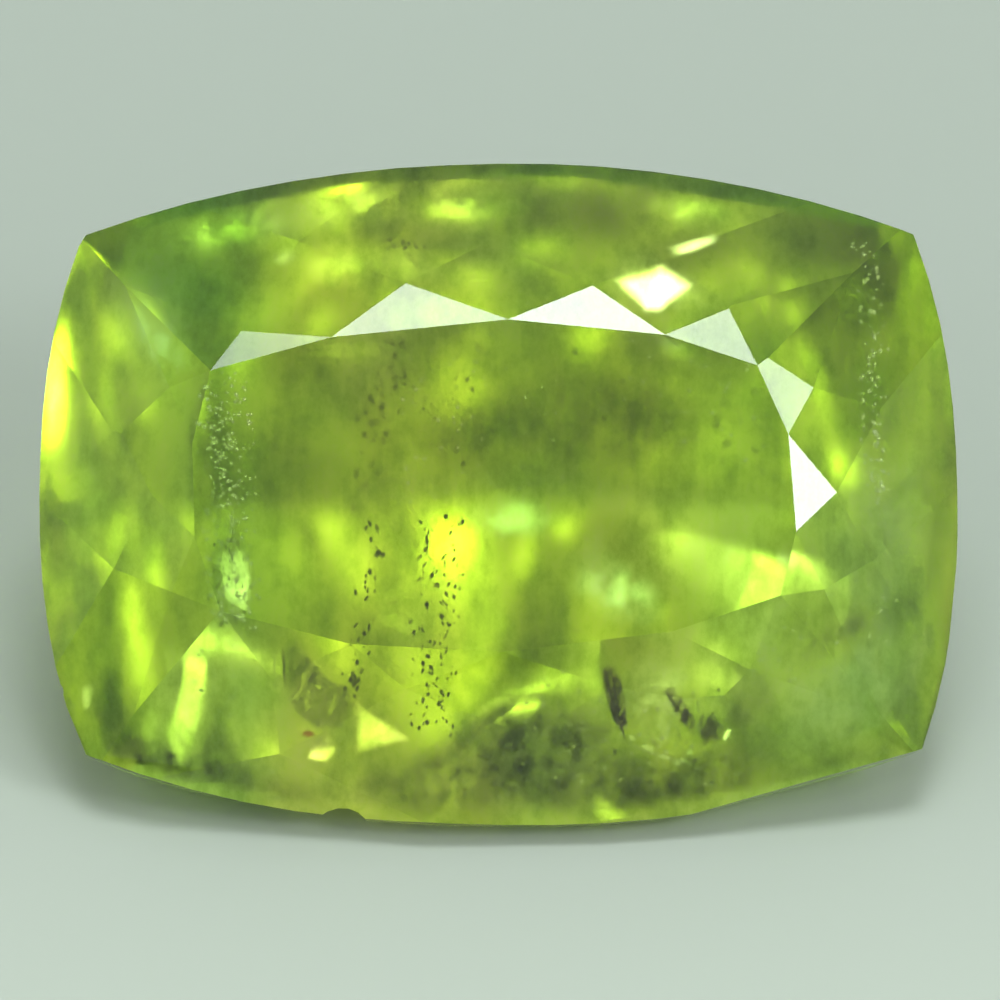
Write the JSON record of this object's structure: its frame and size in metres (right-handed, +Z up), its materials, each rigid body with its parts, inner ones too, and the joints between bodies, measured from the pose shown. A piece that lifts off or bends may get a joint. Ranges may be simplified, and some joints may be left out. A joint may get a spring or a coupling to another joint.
{
  "type": "faceted green beryl gemstone",
  "caption": "Long cushion-cut stone of translucent green crystal with a flat table, faceted crown, thin chipped girdle and deep keeled pavilion.",
  "frame": {"origin": "middle of the underside of the stone's box, on the surface that the stone lies on", "axes": "+X along the stone's length, +Z up, and -Y toward the front, where the tilted table faces"},
  "size_m": [0.018, 0.0102, 0.0092],
  "materials": {
    "beryl": "polished facets, translucent yellow-green, included"
  },
  "bodies": {
    "root": {"beryl": "beryl"}
  },
  "joints": []
}
